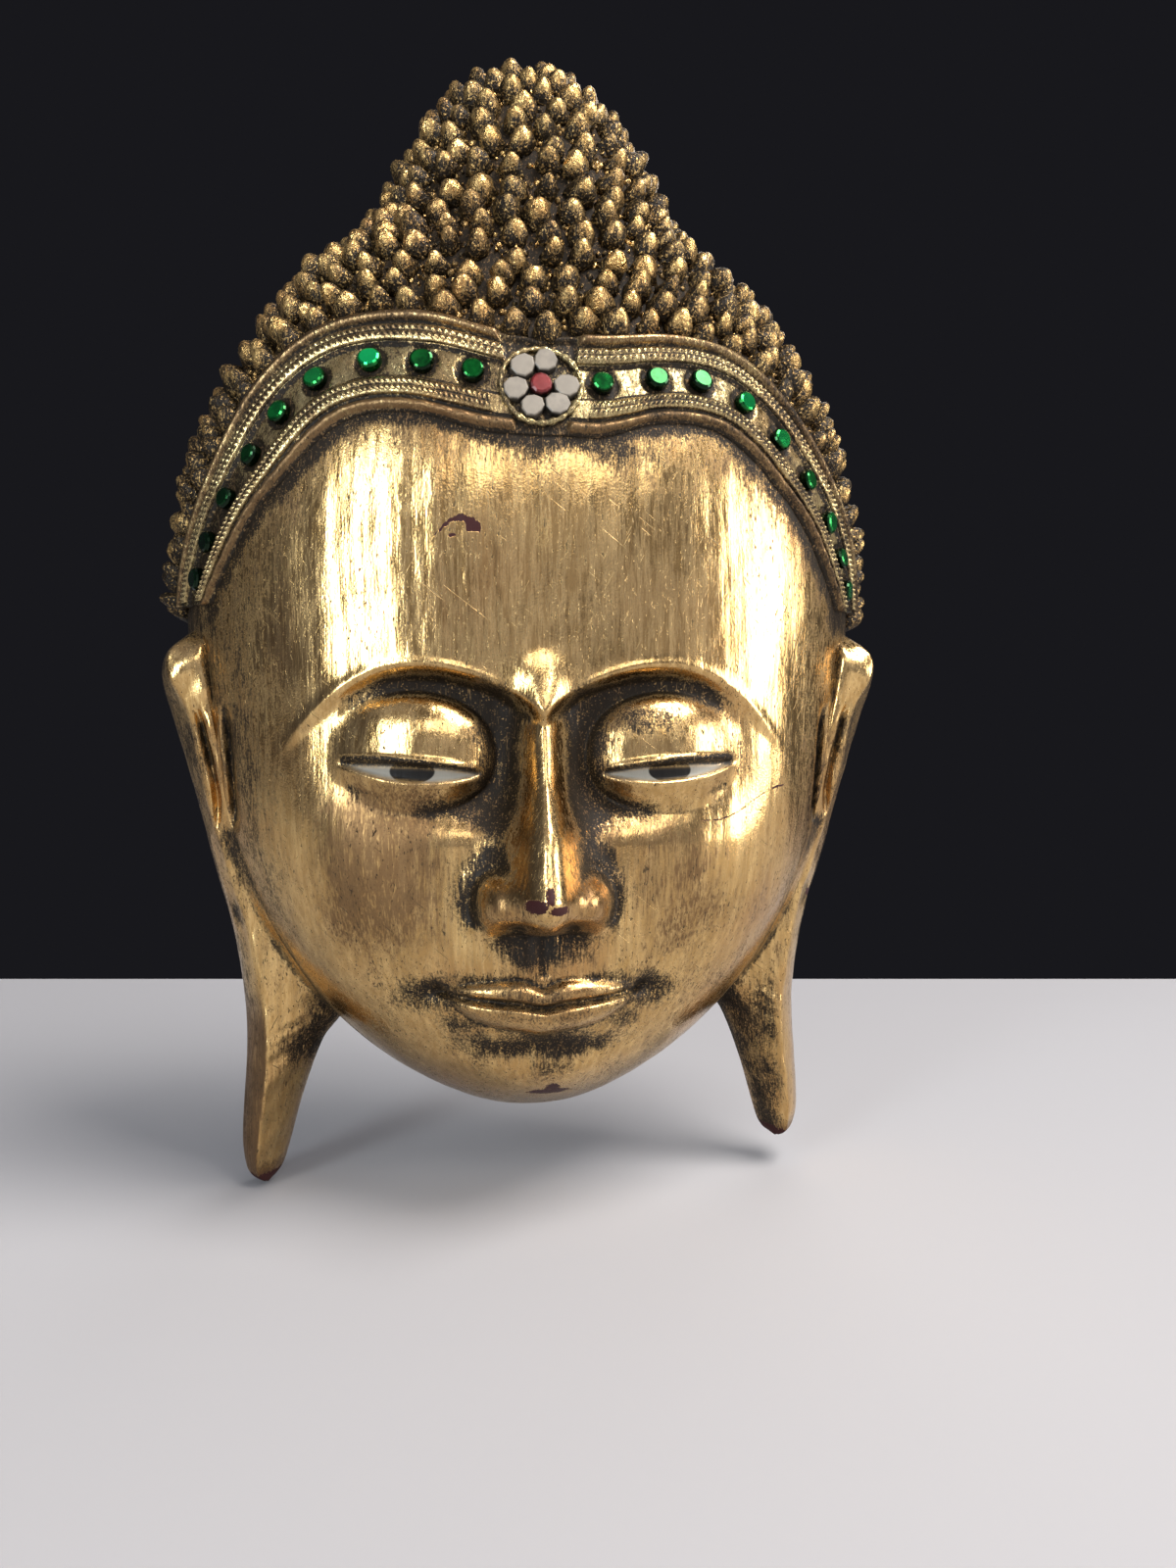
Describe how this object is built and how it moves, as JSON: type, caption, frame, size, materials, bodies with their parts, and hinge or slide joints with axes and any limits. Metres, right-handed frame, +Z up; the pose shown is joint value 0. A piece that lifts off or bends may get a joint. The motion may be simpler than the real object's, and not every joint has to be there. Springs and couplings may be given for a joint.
{
  "type": "buddha wall mask",
  "caption": "Carved and gilt wooden wall mask of a calm face with snail-curl hair, a jewelled headband and long ear lobes, hollow behind.",
  "frame": {"origin": "point on the flat back of the crown that rests on the wall, just below the nail hole, on the middle line", "axes": "+Z up towards the crown, +Y straight back into the wall, +X to the viewer's right when facing the mask, the face looks toward -Y"},
  "size_m": [0.3224, 0.1326, 0.5063],
  "materials": {
    "gilt_wood": "gold leaf over dark lacquer, brushed and worn, dark in the recesses",
    "gilt_trim": "gilt moulded lacquer paste, beaded",
    "green_glass": "green glass backed with foil, polished",
    "white_glass": "pale cloudy mirror glass",
    "red_glass": "red glass backed with foil, polished"
  },
  "bodies": {
    "root": {"mask": "gilt_wood", "strip_upper_left": "gilt_trim", "strip_upper_right": "gilt_trim", "strip_lower_left": "gilt_trim", "strip_lower_right": "gilt_trim", "glass_left_1": "green_glass", "glass_left_2": "green_glass", "glass_left_3": "green_glass", "glass_left_4": "green_glass", "glass_left_5": "green_glass", "glass_left_6": "green_glass", "glass_left_7": "green_glass", "glass_left_8": "green_glass", "glass_left_9": "green_glass", "glass_right_1": "green_glass", "glass_right_2": "green_glass", "glass_right_3": "green_glass", "glass_right_4": "green_glass", "glass_right_5": "green_glass", "glass_right_6": "green_glass", "glass_right_7": "green_glass", "glass_right_8": "green_glass", "glass_right_9": "green_glass", "petal_1": "white_glass", "petal_2": "white_glass", "petal_3": "white_glass", "petal_4": "white_glass", "petal_5": "white_glass", "petal_6": "white_glass", "flower_centre": "red_glass", "flower_ring": "gilt_trim"}
  },
  "joints": []
}
